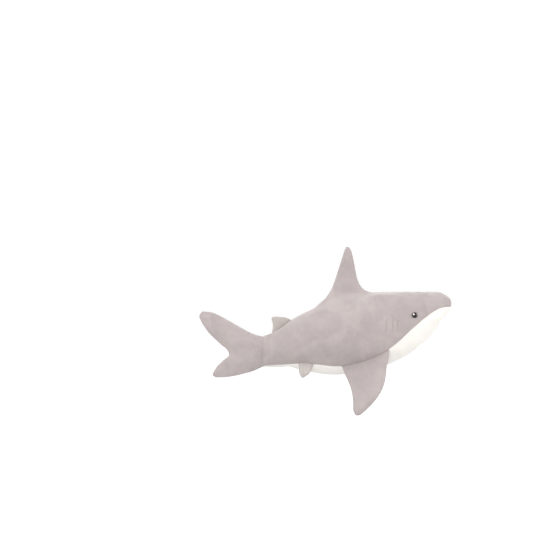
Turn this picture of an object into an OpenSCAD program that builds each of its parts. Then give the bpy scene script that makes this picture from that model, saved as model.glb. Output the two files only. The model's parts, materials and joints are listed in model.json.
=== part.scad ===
// Plush shark, held by its dorsal fin: cloth panels over filling, with fins that bend at their roots.
// +X points to the nose, +Y to the shark's left and +Z up. The origin is on the back, where a hand
// closes round the root of the dorsal fin.

/* [Whole toy] */
// Length from the nose to the tail fin's upper tip
toy_len = 453; // [300:1:700]
// Greatest width of the body
body_w = 111; // [90:1:130]
// Thickness of the velour with its backing
cloth = 1.5; // [1:0.1:2]
// Roundness of the body's sections: 2 is an ellipse, higher is boxier
roundness = 2.2; // [2:0.1:2.6]

/* [Fins] */
// Greatest thickness of the dorsal fin's filling
dorsal_fill = 18; // [8:1:22]
// Greatest thickness of the second dorsal fin's filling
second_dorsal_fill = 5; // [3:0.5:7]
// Greatest thickness of each pectoral fin's filling
pectoral_fill = 16; // [8:1:18]
// Greatest thickness of each pelvic fin's filling
pelvic_fill = 6; // [3:0.5:7]
// Greatest thickness of the tail fin's filling
caudal_fill = 18; // [8:1:22]
// How far each pectoral fin spreads from the vertical
pectoral_splay = 20; // [10:1:35]
// How far each pelvic fin spreads from the vertical
pelvic_splay = 25; // [10:1:35]

/* [Tail bend] */
// Angle of the relief on each side of the tail's bend
relief_angle = 10.5; // [10.5:0.5:14]
// Gap between the body and the tail at the bend's axis
relief_gap = 0.8; // [0.6:0.1:2]

/* [Eyes and gills] */
// Diameter of an eye
eye_d = 11.5; // [8:0.5:14]
// Height of an eye's dome
eye_h = 4.2; // [3:0.1:6]
// Diameter of the stalk behind an eye
stalk_d = 4; // [3:0.5:5]
// Diameter of the washer that holds an eye
washer_d = 15; // [10:0.5:16]
// Width of a gill line's stitches
gill_w = 1.4; // [1:0.1:2]

/* [Hidden] */

k = toy_len / 453;                     // every outline below is for a toy 453 mm long
kw = body_w / 111;                     // and for a body 111 mm wide
GREY = [0.77, 0.73, 0.73];
LIGHT_GREY = [0.80, 0.77, 0.75];
CREAM = [0.97, 0.95, 0.92];
FILLING = [0.93, 0.93, 0.92];

// Sections of the body from the tail to the nose: place along X, height of the back, height of the
// belly, half-width, and height of the seam between the side panels and the belly panel
SECTIONS = [for (s = [
    [-143, -71, -127, 3, -126], [-136, -69, -128, 15, -126], [-124, -64, -128, 23, -125],
    [-108, -55, -128, 31, -124], [-92, -42, -129, 38, -123], [-70, -30, -133, 45, -122],
    [-45, -18, -138, 50, -124], [-15, -5, -140, 54, -127], [15, 2, -138, 55.5, -125.5],
    [50, 7, -131, 55, -116], [90, 8, -117, 51, -90], [125, 8, -98, 46, -58],
    [146, 8, -80, 40, -40], [162, 8, -61, 34.5, -28.5], [174, 7, -47.5, 28.5, -21.5],
    [184, 2, -34, 20, -18], [191, -4, -24, 11, -16], [194, -9, -15, 4, -13]])
    [s[0] * k, s[1] * k, s[2] * k, s[3] * k * kw, s[4] * k]];
BEND = 4;                              // the section where the tail bends
NOSE = len(SECTIONS) - 1;
WAIST = 0.47;                          // height of a section's widest point, as a share of its depth
bend_x = SECTIONS[BEND][0];
relief_fade = 34 * k;                  // length over which the relief at the bend fades out
seam_half = 0.3;                       // half the thickness of a fin's filling at its rim
ring_step = 0.5;                       // rings of a body panel, in sections
side_steps = 8;                        // facets of a side panel, from the back to the seam
belly_steps = 5;                       // facets of half the belly panel

// Root lines of the fins. Each fin turns about its own line.
function axis_point(a, b, x) = a + (b - a) * (x - a.x) / (b.x - a.x);
PECTORAL_ROOT = k * [[2, 34.5, -130], [79, 45, -103]];
PELVIC_ROOT = k * [[-80, 29, -124.5], [-52, 37, -124.5]];

// Fin outlines in side view, [x, z]: the root and the tip from rear to front, then the rear edge and
// the front edge from root to tip. The tail fin's root runs from its lower to its upper edge.
DORSAL = k * [
    [[-44, -8.3], [42, 12.8]],
    [[2, 83], [4, 88], [11, 89], [16, 82]],
    [[-44, -8.3], [-28, 2], [-19, 18], [-11, 40], [-3, 64], [2, 83]],
    [[42, 12.8], [33, 18], [27, 29], [23, 45], [20, 64], [16, 82]]];
SECOND_DORSAL = k * [
    [[-128, -59], [-94, -40.5]],
    [[-129, -42], [-128, -38.5], [-125, -37], [-120, -36.5]],
    [[-128, -59], [-127, -54], [-127.5, -48], [-129, -42]],
    [[-94, -40.5], [-101, -38.5], [-110, -37], [-120, -36.5]]];
PECTORAL = k * [
    [[3, -132.4], [79, -105.7]],
    [[19, -206], [22, -213], [30, -212], [38, -204]],
    [[3, -132.4], [7, -149], [13, -164], [17, -179], [19, -193], [19, -206]],
    [[79, -105.7], [77, -123], [76, -145], [70, -167], [56, -187], [38, -204]]];
PELVIC = k * [
    [[-79, -126.5], [-54, -126.5]],
    [[-77, -143], [-75, -146], [-72, -146.5], [-69, -144.5]],
    [[-79, -126.5], [-79.5, -132], [-79, -138], [-77, -143]],
    [[-54, -126.5], [-57, -134], [-63, -140.5], [-69, -144.5]]];
CAUDAL = k * [
    [[-148, -127], [-148, -73]],
    [[-229, -145], [-233, -139], [-224, -124], [-206, -107], [-214, -90], [-240, -64], [-258, -38],
     [-253, -28]],
    [[-148, -127], [-165, -137], [-190, -142.5], [-212, -145], [-229, -145]],
    [[-148, -73], [-165, -67.5], [-190, -54], [-222, -36], [-253, -28]]];

// A smooth curve through the points p, at t from 0 to the last point's number
function through(p, t) =
    let (n = len(p) - 1, i = min(max(floor(t), 0), n - 1), f = t - i,
         a = i > 0 ? p[i - 1] : 2 * p[0] - p[1], b = p[i], c = p[i + 1],
         d = i + 2 <= n ? p[i + 2] : 2 * p[n] - p[n - 1])
    (2 * b + (c - a) * f + (2 * a - 5 * b + 4 * c - d) * f * f + (3 * b - a - 3 * c + d) * f * f * f) / 2;
function along(p, t) = through(p, t * (len(p) - 1));
function smooth(t) = let (c = min(max(t, 0), 1)) c * c * (3 - 2 * c);
function bulge(v) = sign(v) * pow(abs(v), 2 / roundness);

// Sections of the body: u counts the sections, a is the angle from the back, in degrees
function middle(s, depth = 0) = s[2] + depth + (s[1] - s[2] - 2 * depth) * WAIST;
function skin(u, a, depth = 0) =
    let (s = through(SECTIONS, u), mid = middle(s, depth),
         half = cos(a) > 0 ? s[1] - depth - mid : mid - s[2] - depth)
    [s[0], -(s[3] - depth) * bulge(sin(a)), mid + half * bulge(cos(a))];
function angle_at(u, z) =
    let (s = through(SECTIONS, u), mid = middle(s), half = z > mid ? s[1] - mid : mid - s[2],
         share = min(max((z - mid) / half, -1), 1))
    acos(sign(share) * pow(abs(share), roundness / 2));
function seam_angle(u) = angle_at(u, through(SECTIONS, u)[4]);
function section_at(x, low = 0, high = NOSE) =
    let (u = (low + high) / 2)
    high - low < 0.001 ? u : through(SECTIONS, u)[0] < x ? section_at(x, u, high) : section_at(x, low, u);

// The relief at the tail's bend: side 1 is the body's face, side -1 the tail's
function relieved(p, side) =
    let (share = 1 - smooth((p.x - bend_x) * side / relief_fade))
    [p.x + side * (relief_gap / 2 + abs(p.y) * tan(relief_angle)) * share, p.y, p.z];

function side_rows(from, to, side, depth) =
    [for (u = [from : ring_step : to])
        [for (j = [0 : side_steps]) relieved(skin(u, seam_angle(u) * j / side_steps, depth), side)]];
function belly_angle(u, j) =
    let (s = seam_angle(u)) s + (360 - 2 * s) * j / (2 * belly_steps);
function belly_rows(from, to, side, depth) =
    [for (u = [from : ring_step : to])
        [for (j = [0 : 2 * belly_steps]) relieved(skin(u, belly_angle(u, j), depth), side)]];
function ring(u, side, depth) = concat(
    [for (j = [0 : side_steps - 1]) skin(u, seam_angle(u) * j / side_steps, depth)],
    [for (j = [0 : 2 * belly_steps - 1]) skin(u, belly_angle(u, j), depth)],
    [for (j = [side_steps : -1 : 1]) skin(u, 360 - seam_angle(u) * j / side_steps, depth)]);

// A closed solid between two grids of points that have the same rows and columns
module between(outer, inner) {
    rows = len(outer);
    cols = len(outer[0]);
    back = rows * cols;
    points = concat([for (r = outer, p = r) p], [for (r = inner, p = r) p]);
    faces = concat(
        [for (i = [0 : rows - 2], j = [0 : cols - 2]) let (a = i * cols + j, b = a + cols)
            each [[a, b, b + 1], [a, b + 1, a + 1]]],
        [for (i = [0 : rows - 2], j = [0 : cols - 2]) let (a = back + i * cols + j, b = a + cols)
            each [[a, b + 1, b], [a, a + 1, b + 1]]],
        [for (i = [0 : rows - 2]) let (a = i * cols, b = a + cols)
            each [[a, back + a, back + b], [a, back + b, b]]],
        [for (i = [0 : rows - 2]) let (a = i * cols + cols - 1, b = a + cols)
            each [[a, back + b, back + a], [a, b, back + b]]],
        [for (j = [0 : cols - 2]) each [[j, j + 1, back + j + 1], [j, back + j + 1, back + j]]],
        [for (j = [0 : cols - 2]) let (a = (rows - 1) * cols + j)
            each [[a, back + a + 1, a + 1], [a, back + a, back + a + 1]]]);
    polyhedron(points, faces);
}

// A closed solid through rings of points, with a point in the middle of each end. From the point
// number mirrored on, the facets are cut along their other diagonal, as in a mirrored panel.
module through_rings(rings, start, end, mirrored) {
    n = len(rings[0]);
    last = (len(rings) - 1) * n;
    points = concat([for (r = rings, p = r) p], [start, end]);
    faces = concat(
        [for (i = [0 : len(rings) - 2], j = [0 : n - 1])
            let (a = i * n + j, b = i * n + (j + 1) % n)
            each j < mirrored ? [[a, a + n, b + n], [a, b + n, b]] : [[a, a + n, b], [b, a + n, b + n]]],
        [for (j = [0 : n - 1]) [last + n, j, (j + 1) % n]],
        [for (j = [0 : n - 1]) [last + n + 1, last + (j + 1) % n, last + j]]);
    polyhedron(points, faces);
}

module side_panel(from, to, side) {
    between(side_rows(from, to, side, 0), side_rows(from, to, side, cloth));
}

module under_panel(from, to, side) {
    between(belly_rows(from, to, side, 0), belly_rows(from, to, side, cloth));
}

module filling(from, to, side) {
    rings = [for (u = [from : ring_step : to]) [for (p = ring(u, side, cloth)) relieved(p, side)]];
    first = through(SECTIONS, from);
    last = through(SECTIONS, to);
    start = relieved([first[0], 0, middle(first)], side);
    end = relieved([last[0], 0, middle(last)], side);
    through_rings(rings, start, end, side_steps + 2 * belly_steps);
}

// A fin's surface: s runs from the rear edge to the front edge, h from the root to the tip
function flat_point(f, s, h) =
    (1 - h) * along(f[0], s) + h * along(f[1], s) + (1 - s) * along(f[2], h) + s * along(f[3], h)
    - (1 - s) * ((1 - h) * f[0][0] + h * f[2][len(f[2]) - 1])
    - s * ((1 - h) * f[3][0] + h * f[3][len(f[3]) - 1]);
function swell(s, h) = pow(4 * s * (1 - s), 0.7) * sin(180 * pow(h, 0.75));
function fin_rows(f, fill, extra, across, up) =
    [for (i = [0 : up]) [for (j = [0 : across])
        let (s = j / across, h = i / up, p = flat_point(f, s, h))
        [p.x, p.y, seam_half + extra + max(0, fill / 2 - seam_half) * swell(s, h)]]];

// Puts a fin's point [x, z, out] in the toy: on the middle plane, or on a plane through a root line that
// leans out by splay. out is the distance from the fin's own middle, and face is 1 or -1.
function upright(p, face) = [p[0], -face * p[2], p[1]];
function leaning(p, face, root, splay) =
    let (d = root[1] - root[0], down = [0, tan(splay), -1], n = cross(d, down), normal = n / norm(n),
         base = axis_point(root[0], root[1], p[0]))
    [p[0], base.y + (base.z - p[1]) * tan(splay), p[1]] + face * p[2] * normal;

module upright_face(f, fill, across, up, face) {
    out = [for (r = fin_rows(f, fill, cloth, across, up)) [for (p = r) upright(p, face)]];
    in = [for (r = fin_rows(f, fill, 0, across, up)) [for (p = r) upright(p, face)]];
    if (face > 0) between(out, in); else between(in, out);
}

module upright_filling(f, fill, across, up) {
    rows = fin_rows(f, fill, 0, across, up);
    between([for (r = rows) [for (p = r) upright(p, 1)]], [for (r = rows) [for (p = r) upright(p, -1)]]);
}

module leaning_face(f, fill, root, splay, across, up, face) {
    out = [for (r = fin_rows(f, fill, cloth, across, up)) [for (p = r) leaning(p, face, root, splay)]];
    in = [for (r = fin_rows(f, fill, 0, across, up)) [for (p = r) leaning(p, face, root, splay)]];
    if (face > 0) between(out, in); else between(in, out);
}

module leaning_filling(f, fill, root, splay, across, up) {
    rows = fin_rows(f, fill, 0, across, up);
    between([for (r = rows) [for (p = r) leaning(p, 1, root, splay)]],
            [for (r = rows) [for (p = r) leaning(p, -1, root, splay)]]);
}

// The right eye's place on the cloth, and the turns that point +Z straight out of it
eye_u = section_at(128 * k);
eye_a = angle_at(eye_u, -34 * k);
eye_at = skin(eye_u, eye_a);
eye_tangent = skin(eye_u + 0.05, eye_a) - skin(eye_u - 0.05, eye_a);
eye_rise = skin(eye_u, eye_a - 1) - skin(eye_u, eye_a + 1);
eye_cross = cross(eye_tangent, eye_rise);
eye_out = -eye_cross / norm(eye_cross) * sign(eye_cross.y);
washer_depth = cloth + 1.2;            // how far inside the cloth's face a washer's outer side lies

module on_eye() {
    translate(eye_at) rotate([0, acos(eye_out.z), atan2(eye_out.y, eye_out.x)]) children();
}

module eye() {
    radius = (eye_d * eye_d / 4 + eye_h * eye_h) / (2 * eye_h);
    on_eye() {
        intersection() {
            translate([0, 0, eye_h - radius]) sphere(r = radius, $fn = 48);
            cylinder(d = eye_d + 2, h = eye_h + 1, $fn = 48);
        }
        translate([0, 0, -washer_depth - 6]) cylinder(d = stalk_d, h = washer_depth + 6.01, $fn = 24);
    }
}

module eye_washer() {
    thick = 1.6;
    on_eye() translate([0, 0, -washer_depth - thick]) difference() {
        cylinder(d = washer_d, h = thick, $fn = 48);
        translate([0, 0, -1]) cylinder(d = stalk_d + 0.1, h = thick + 2, $fn = 24);
    }
}

// Three gill lines: place along X at the top of each, and the heights of its ends
GILLS = k * [[78, -40, -66], [89, -39, -67], [98.5, -41, -64]];
gill_lean = 0.08;                      // how far a gill line leans back, per unit of its height
module gill_stitches() {
    steps = 6;
    for (g = GILLS) {
        rows = [for (i = [0 : steps])
            let (z = g[1] + (g[2] - g[1]) * i / steps, x = g[0] + (z - g[1]) * gill_lean)
            [for (e = [0.5, -0.5]) let (u = section_at(x + e * gill_w)) [u, angle_at(u, z)]]];
        between([for (r = rows) [for (p = r) skin(p[0], p[1], -0.8)]],
                [for (r = rows) [for (p = r) skin(p[0], p[1], -0.15)]]);
    }
}

module left() { mirror([0, 1, 0]) children(); }

module side_panel_right() { color(GREY) side_panel(BEND, NOSE, 1); }
module side_panel_left() { color(GREY) left() side_panel(BEND, NOSE, 1); }
module belly_panel() { color(CREAM) under_panel(BEND, NOSE, 1); }
module body_filling() { color(FILLING) filling(BEND, NOSE, 1); }
module eye_right() { color("black") eye(); }
module eye_left() { color("black") left() eye(); }
module eye_washer_right() { color("white") eye_washer(); }
module eye_washer_left() { color("white") left() eye_washer(); }
module gill_stitches_right() { color("dimgray") gill_stitches(); }
module gill_stitches_left() { color("dimgray") left() gill_stitches(); }
module tail_side_panel_right() { color(GREY) side_panel(0, BEND, -1); }
module tail_side_panel_left() { color(GREY) left() side_panel(0, BEND, -1); }
module tail_belly_panel() { color(CREAM) under_panel(0, BEND, -1); }
module tail_filling() { color(FILLING) filling(0, BEND, -1); }
module dorsal_fin_face_right() { color(GREY) upright_face(DORSAL, dorsal_fill, 8, 8, 1); }
module dorsal_fin_face_left() { color(GREY) upright_face(DORSAL, dorsal_fill, 8, 8, -1); }
module dorsal_fin_filling() { color(FILLING) upright_filling(DORSAL, dorsal_fill, 8, 8); }
module second_dorsal_face(face) { upright_face(SECOND_DORSAL, second_dorsal_fill, 6, 5, face); }
module second_dorsal_face_right() { color(LIGHT_GREY) second_dorsal_face(1); }
module second_dorsal_face_left() { color(LIGHT_GREY) second_dorsal_face(-1); }
module second_dorsal_filling() { color(FILLING) upright_filling(SECOND_DORSAL, second_dorsal_fill, 6, 5); }
module caudal_fin_face_right() { color(GREY) upright_face(CAUDAL, caudal_fill, 14, 10, 1); }
module caudal_fin_face_left() { color(GREY) upright_face(CAUDAL, caudal_fill, 14, 10, -1); }
module caudal_fin_filling() { color(FILLING) upright_filling(CAUDAL, caudal_fill, 14, 10); }

module pectoral_face(face) {
    leaning_face(PECTORAL, pectoral_fill, PECTORAL_ROOT, pectoral_splay, 8, 10, face);
}
module pectoral_filling() {
    leaning_filling(PECTORAL, pectoral_fill, PECTORAL_ROOT, pectoral_splay, 8, 10);
}
module pelvic_face(face) {
    leaning_face(PELVIC, pelvic_fill, PELVIC_ROOT, pelvic_splay, 5, 5, face);
}
module pelvic_filling() {
    leaning_filling(PELVIC, pelvic_fill, PELVIC_ROOT, pelvic_splay, 5, 5);
}
module pectoral_outer_face_left() { color(GREY) pectoral_face(1); }
module pectoral_inner_face_left() { color(GREY) pectoral_face(-1); }
module pectoral_filling_left() { color(FILLING) pectoral_filling(); }
module pectoral_outer_face_right() { color(GREY) left() pectoral_face(1); }
module pectoral_inner_face_right() { color(GREY) left() pectoral_face(-1); }
module pectoral_filling_right() { color(FILLING) left() pectoral_filling(); }
module pelvic_outer_face_left() { color(LIGHT_GREY) pelvic_face(1); }
module pelvic_inner_face_left() { color(LIGHT_GREY) pelvic_face(-1); }
module pelvic_filling_left() { color(FILLING) pelvic_filling(); }
module pelvic_outer_face_right() { color(LIGHT_GREY) left() pelvic_face(1); }
module pelvic_inner_face_right() { color(LIGHT_GREY) left() pelvic_face(-1); }
module pelvic_filling_right() { color(FILLING) left() pelvic_filling(); }

side_panel_right();
side_panel_left();
belly_panel();
body_filling();
eye_right();
eye_left();
eye_washer_right();
eye_washer_left();
gill_stitches_right();
gill_stitches_left();
tail_side_panel_right();
tail_side_panel_left();
tail_belly_panel();
tail_filling();
dorsal_fin_face_right();
dorsal_fin_face_left();
dorsal_fin_filling();
second_dorsal_face_right();
second_dorsal_face_left();
second_dorsal_filling();
pectoral_outer_face_right();
pectoral_inner_face_right();
pectoral_filling_right();
pectoral_outer_face_left();
pectoral_inner_face_left();
pectoral_filling_left();
pelvic_outer_face_right();
pelvic_inner_face_right();
pelvic_filling_right();
pelvic_outer_face_left();
pelvic_inner_face_left();
pelvic_filling_left();
caudal_fin_face_right();
caudal_fin_face_left();
caudal_fin_filling();
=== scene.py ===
"""Looks of the plush shark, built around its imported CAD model. Outlines and sizes are in
millimetres, and MM turns them into Blender's metres."""

import json
import math

import bpy
import numpy as np
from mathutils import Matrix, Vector, kdtree, noise
from mathutils.bvhtree import BVHTree
from mathutils.interpolate import poly_3d_calc


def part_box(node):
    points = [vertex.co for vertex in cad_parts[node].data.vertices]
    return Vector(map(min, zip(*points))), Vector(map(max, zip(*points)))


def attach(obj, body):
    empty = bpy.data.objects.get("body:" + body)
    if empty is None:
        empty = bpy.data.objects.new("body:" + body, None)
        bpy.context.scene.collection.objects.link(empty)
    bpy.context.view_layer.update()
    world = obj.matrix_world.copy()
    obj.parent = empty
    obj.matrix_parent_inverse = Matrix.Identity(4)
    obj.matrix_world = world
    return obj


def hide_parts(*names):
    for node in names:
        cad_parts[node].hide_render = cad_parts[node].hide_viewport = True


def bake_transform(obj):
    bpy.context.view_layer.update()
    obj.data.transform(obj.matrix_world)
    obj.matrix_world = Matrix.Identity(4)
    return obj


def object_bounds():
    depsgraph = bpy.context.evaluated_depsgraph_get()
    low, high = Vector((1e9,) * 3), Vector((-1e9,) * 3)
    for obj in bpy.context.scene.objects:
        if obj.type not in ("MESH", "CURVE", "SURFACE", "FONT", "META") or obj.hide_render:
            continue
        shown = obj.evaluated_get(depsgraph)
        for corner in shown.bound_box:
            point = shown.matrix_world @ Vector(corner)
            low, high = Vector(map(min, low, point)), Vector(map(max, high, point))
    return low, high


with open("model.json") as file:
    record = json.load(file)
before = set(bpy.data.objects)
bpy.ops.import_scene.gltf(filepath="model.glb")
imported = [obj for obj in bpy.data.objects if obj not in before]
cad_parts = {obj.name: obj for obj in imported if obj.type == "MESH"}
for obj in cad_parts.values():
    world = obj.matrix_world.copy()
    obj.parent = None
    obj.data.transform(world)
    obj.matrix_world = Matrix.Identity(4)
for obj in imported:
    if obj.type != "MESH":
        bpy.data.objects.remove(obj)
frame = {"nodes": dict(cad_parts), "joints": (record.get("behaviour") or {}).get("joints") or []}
cad_low, cad_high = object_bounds()

# ---------------------------------------------------------------- sizes
CAD_LENGTH_MM = 452.0
MM = (cad_high.x - cad_low.x) / CAD_LENGTH_MM   # one millimetre of the outlines, in metres
WIDTH = (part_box("side_panel_left")[1].y / MM) / 55.6   # the body's width, against the outlines'
CLOTH = 1.2 * MM                 # the cloth's thickness, in metres
ROUNDNESS = 2.2                  # of the body's sections: 2 is an ellipse
WAIST = 0.47                     # height of a section's widest point, as a share of its depth
COLUMN_STEP = 2.6                # spacing of the body's columns
SIDE_ROWS, BELLY_ROWS, FIN_ROWS = 34, 14, 34

# Sections of the body from the tail to the nose: place along X, height of the back, height of the
# belly, half-width, and height of the seam between the side panels and the belly panel
SECTIONS = np.array([
    [-145.5, -72.5, -127.5, 9.5, -126], [-136, -69, -128, 15.5, -126], [-124, -64, -128, 23, -125],
    [-108, -55, -128, 31, -124], [-92, -42, -129, 38, -123], [-70, -30, -133, 45, -122],
    [-45, -18, -138, 50, -124], [-15, -5, -140, 54, -127], [15, 2, -138, 55.5, -125.5],
    [50, 7, -131, 55, -116], [90, 8, -117, 51, -90], [125, 8, -98, 46, -58],
    [146, 8, -80, 40, -40], [162, 8, -61, 34.5, -28.5], [174, 7, -47.5, 28.5, -22.2],
    [184, 2.5, -35, 20.5, -20], [190.5, -2.5, -26.5, 12.5, -19.8], [193.6, -7, -21.5, 6.5, -18.6],
    [194.9, -12, -17.5, 0.4, -16.5]])
SECTIONS[:, 3] *= WIDTH

# Outlines of the fins in side view, [x, z]. Each edge runs from the root to the tip, and each tip
# from rear to front. The tail fin's tip edge runs from its lower to its upper lobe.
DORSAL_ENDS = (-52, 55)
DORSAL_REAR = [[-44, -13.5], [-31.5, -3], [-24.5, 8], [-19.5, 17], [-13, 35], [-6, 57], [2, 83]]
DORSAL_FRONT = [[43.5, 9.3], [36, 14.6], [29.5, 24.5], [25.5, 36], [22.5, 50], [20, 65], [16, 82]]
DORSAL_TIP = [[2, 83], [4.5, 88], [10.5, 89], [16, 82]]
SECOND_REAR = [[-129, -66], [-127, -58], [-126.8, -50], [-129, -42]]
SECOND_FRONT = [[-91, -41], [-99, -39.5], [-109, -37.5], [-120, -36.5]]
SECOND_TIP = [[-129, -42], [-128, -38.5], [-125, -37], [-120, -36.5]]
PECTORAL_REAR = [[-4, -129], [2, -139], [8, -151], [14, -166], [17.5, -180], [19, -193], [19, -206]]
PECTORAL_FRONT = [[84, -101], [81.5, -113], [78, -127], [76, -146], [69.5, -167], [56, -187],
                  [38.8, -204.9]]
PECTORAL_TIP = [[19, -206], [21.5, -213], [29, -212.5], [38.8, -204.9]]
PELVIC_REAR = [[-80.5, -124], [-79.8, -131], [-79.3, -138], [-77, -143]]
PELVIC_FRONT = [[-53, -124], [-56.5, -133], [-62.5, -140.5], [-69, -144.5]]
PELVIC_TIP = [[-77, -143], [-75, -146], [-72, -146.5], [-69, -144.5]]
CAUDAL_LOW = [[-165, -136.5], [-190, -143], [-212, -146.5], [-229.5, -147]]
CAUDAL_HIGH = [[-165, -66.5], [-190, -53], [-216, -38], [-236, -29], [-253.5, -27]]
CAUDAL_REAR = [[-229.5, -147], [-235, -141], [-227, -126.5], [-216.5, -116], [-206, -107], [-209, -97],
               [-220, -87], [-241, -67], [-254.5, -48], [-259, -36], [-253.5, -27]]

# How far each pair of fins spreads from the vertical, in degrees, as its joint has it
PECTORAL_SPLAY, PELVIC_SPLAY = 20, 25
# Half the greatest thickness of each fin
DORSAL_HALF, SECOND_HALF, PECTORAL_HALF, PELVIC_HALF, CAUDAL_HALF = 11, 4, 9, 4, 11
ROOT_PINCH = 1.8                 # half the thickness of a fin at its sewn root

SPLIT_X = -60                    # where each side panel's mesh is divided into a front and a rear piece
TAIL_ZONE, TAIL_HEIGHT = (-76, -112), -85   # the tail bends between these places along X
CAUDAL_ZONE, CAUDAL_HEIGHT = (-146, -168), -100
# Where each fin's cloth turns, measured out along the fin from its joint's axis
DORSAL_TURN, SECOND_TURN, PECTORAL_TURN, PELVIC_TURN = (2, 34), (-1, 8), (0, 24), (0, 9)
STALK_LAP, STALK_TUCK = 2.6, 0.6 # how far the tail fin reaches into the stalk, and under its cloth
PECTORAL_SINK, PELVIC_SINK, SECOND_SINK = 4.5, 3.2, 3   # how far each root is sunk in the body

EYE_X, EYE_Z, EYE_RADIUS, EYE_HEIGHT = 128, -34, 5.35, 4.0
EYE_SKIRT = 2.2                  # how deep the button's skirt is sunk
EYE_HOLD = 4                     # the cloth is held within this radius while the filling swells it
GILLS = [[78, -40, -66], [89, -39, -67], [98.5, -41, -64]]   # x at the top, z at the top and the foot
GILL_LEAN = 0.08

# Depth and width of the grooves along the seams and of the dents round the eyes
BACK_GROOVE, BELLY_GROOVE, TAIL_GROOVE, EYE_DENT = (1.1, 2.0), (1.5, 1.5), (0.4, 1.6), (1.3, 7.5)
NOSE_FADE, STALK_FADE = 14, 9    # the long seams' grooves fade out over these lengths at their ends
LUMP_HEIGHT, LUMP_SIZE = 0.8, 48 # the body's soft lumps, as filling leaves them
PAD_INSET, MASS_INSET = 2.4, 3.4 # how far the dorsal pad and the body's filling lie inside the cloth

# The studio, in metres
FLOOR_Z, FLOOR_HALF = -0.441, 30
FLOOR_GLOW = 0.55                # the paper is lit from behind, as a white studio floor is
SKY_BELOW, SKY_ABOVE = 1.12, 0.62   # how brightly the white surround lights the toy
SKY_SEEN = 1.0                   # how bright it looks
SKY_GLINT = 0.45                 # its share in glossy reflections, as a dark card by the camera gives
LIGHT_DISTANCE = 3.0
FRAME_WIDTH = 0.99               # what the camera takes in, at the shark
LENS, SENSOR = 400.0, 36.0
CAMERA_X, CAMERA_Z = -0.1224, 0.0378

joints = {j["name"]: j for j in frame["joints"]}
FLIP = np.array([1, -1, 1])      # turns the right side's points into the left side's


# ---------------------------------------------------------------- curves and surfaces
def through(points, t):
    """A smooth curve through the points, at t from 0 to the last point's number."""
    p = np.asarray(points, float)
    t = np.asarray(t, float)
    i = np.clip(np.floor(t).astype(int), 0, len(p) - 2)
    f = (t - i)[..., None]
    ends = np.vstack([2 * p[0] - p[1], p, 2 * p[-1] - p[-2]])
    a, b, c, d = ends[i], ends[i + 1], ends[i + 2], ends[i + 3]
    return (2 * b + (c - a) * f + (2 * a - 5 * b + 4 * c - d) * f**2 + (3 * b - a - 3 * c + d) * f**3) / 2


def along(points, t):
    """The same curve, at t from 0 to 1 by its length."""
    p = np.asarray(points, float)
    steps = np.linalg.norm(np.diff(p, axis=0), axis=1)
    knots = np.concatenate([[0], np.cumsum(steps)]) / steps.sum()
    return through(p, np.interp(t, knots, np.arange(len(p))))


def smooth(t):
    t = np.clip(t, 0, 1)
    return t * t * (3 - 2 * t)


def clustered(n, start=True, end=True, tight=0.2, reach=5):
    """n + 1 values from 0 to 1 that stand closer together near the ends asked for."""
    k = np.arange(n) + 0.5
    near = np.minimum(k if start else n, n - k if end else n)
    widths = tight + (1 - tight) * smooth(near / reach)
    return np.concatenate([[0], np.cumsum(widths)]) / widths.sum()


def bulge(v):
    return np.sign(v) * np.abs(v) ** (2 / ROUNDNESS)


def section_at(x):
    """The number of the section, as a decimal, at a place along X."""
    u = np.linspace(0, len(SECTIONS) - 1, 4001)
    return np.interp(x, through(SECTIONS, u)[:, 0], u)


def middle(s):
    return s[..., 2] + (s[..., 1] - s[..., 2]) * WAIST


def skin(u, a, depth=0.0):
    """A point of the body's right side: u counts the sections, a is the angle from the back."""
    s = through(SECTIONS, u)
    top, bottom, half = s[..., 1] - depth, s[..., 2] + depth, np.maximum(s[..., 3] - depth, 0.05)
    mid = bottom + (top - bottom) * WAIST
    c = np.cos(a)
    height = np.where(c > 0, np.maximum(top - mid, 0.05), np.maximum(mid - bottom, 0.05))
    return np.stack([s[..., 0], -half * bulge(np.sin(a)), mid + height * bulge(c)], -1)


def angle_at(u, z):
    s = through(SECTIONS, u)
    mid = middle(s)
    half = np.where(z > mid, s[..., 1] - mid, mid - s[..., 2])
    share = np.clip((z - mid) / half, -1, 1)
    return np.arccos(np.sign(share) * np.abs(share) ** (ROUNDNESS / 2))


def eye_spot():
    """The middle of the right eye, on the body's skin."""
    u = section_at(EYE_X)
    return skin(u, angle_at(u, EYE_Z))


def patch(root, tip, rear, front, s, h):
    """A surface between four curves: s from rear to front, h from the root to the tip. The four are
    arrays of points, one for each s or h."""
    s, h = s[None, :, None], h[:, None, None]
    r, t, a, b = root[None], tip[None], rear[:, None], front[:, None]
    sides = (1 - h) * r + h * t + (1 - s) * a + s * b
    corners = (1 - s) * ((1 - h) * r[:, :1] + h * t[:, :1]) + s * ((1 - h) * r[:, -1:] + h * t[:, -1:])
    return sides - corners


def roll(far, radius=1.3):
    """The rounding of a sewn edge: the thickness it has at a distance from the seam."""
    return radius * np.sqrt(np.clip(1 - (1 - np.minimum(far / radius, 1)) ** 2, 0, 1))


def grid_faces(rows, cols, first=0):
    i, j = np.meshgrid(np.arange(rows - 1), np.arange(cols - 1), indexing="ij")
    a = first + (i * cols + j).ravel()
    return np.stack([a, a + cols, a + cols + 1, a + 1], 1)


def ring_faces(rings, turns, first=0):
    """The faces of a tube: quads between its rings of points, each ring turns points long."""
    found = []
    for a in range(first, first + (rings - 1) * turns, turns):
        b = a + turns
        found += [[a + j, b + j, b + (j + 1) % turns, a + (j + 1) % turns] for j in range(turns)]
    return found


def vertex_normals(v, faces):
    n = np.cross(v[faces[:, 2]] - v[faces[:, 0]], v[faces[:, 3]] - v[faces[:, 1]])
    total = np.zeros_like(v)
    for k in range(4):
        np.add.at(total, faces[:, k], n)
    return total / np.maximum(np.linalg.norm(total, axis=1, keepdims=True), 1e-12)


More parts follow.
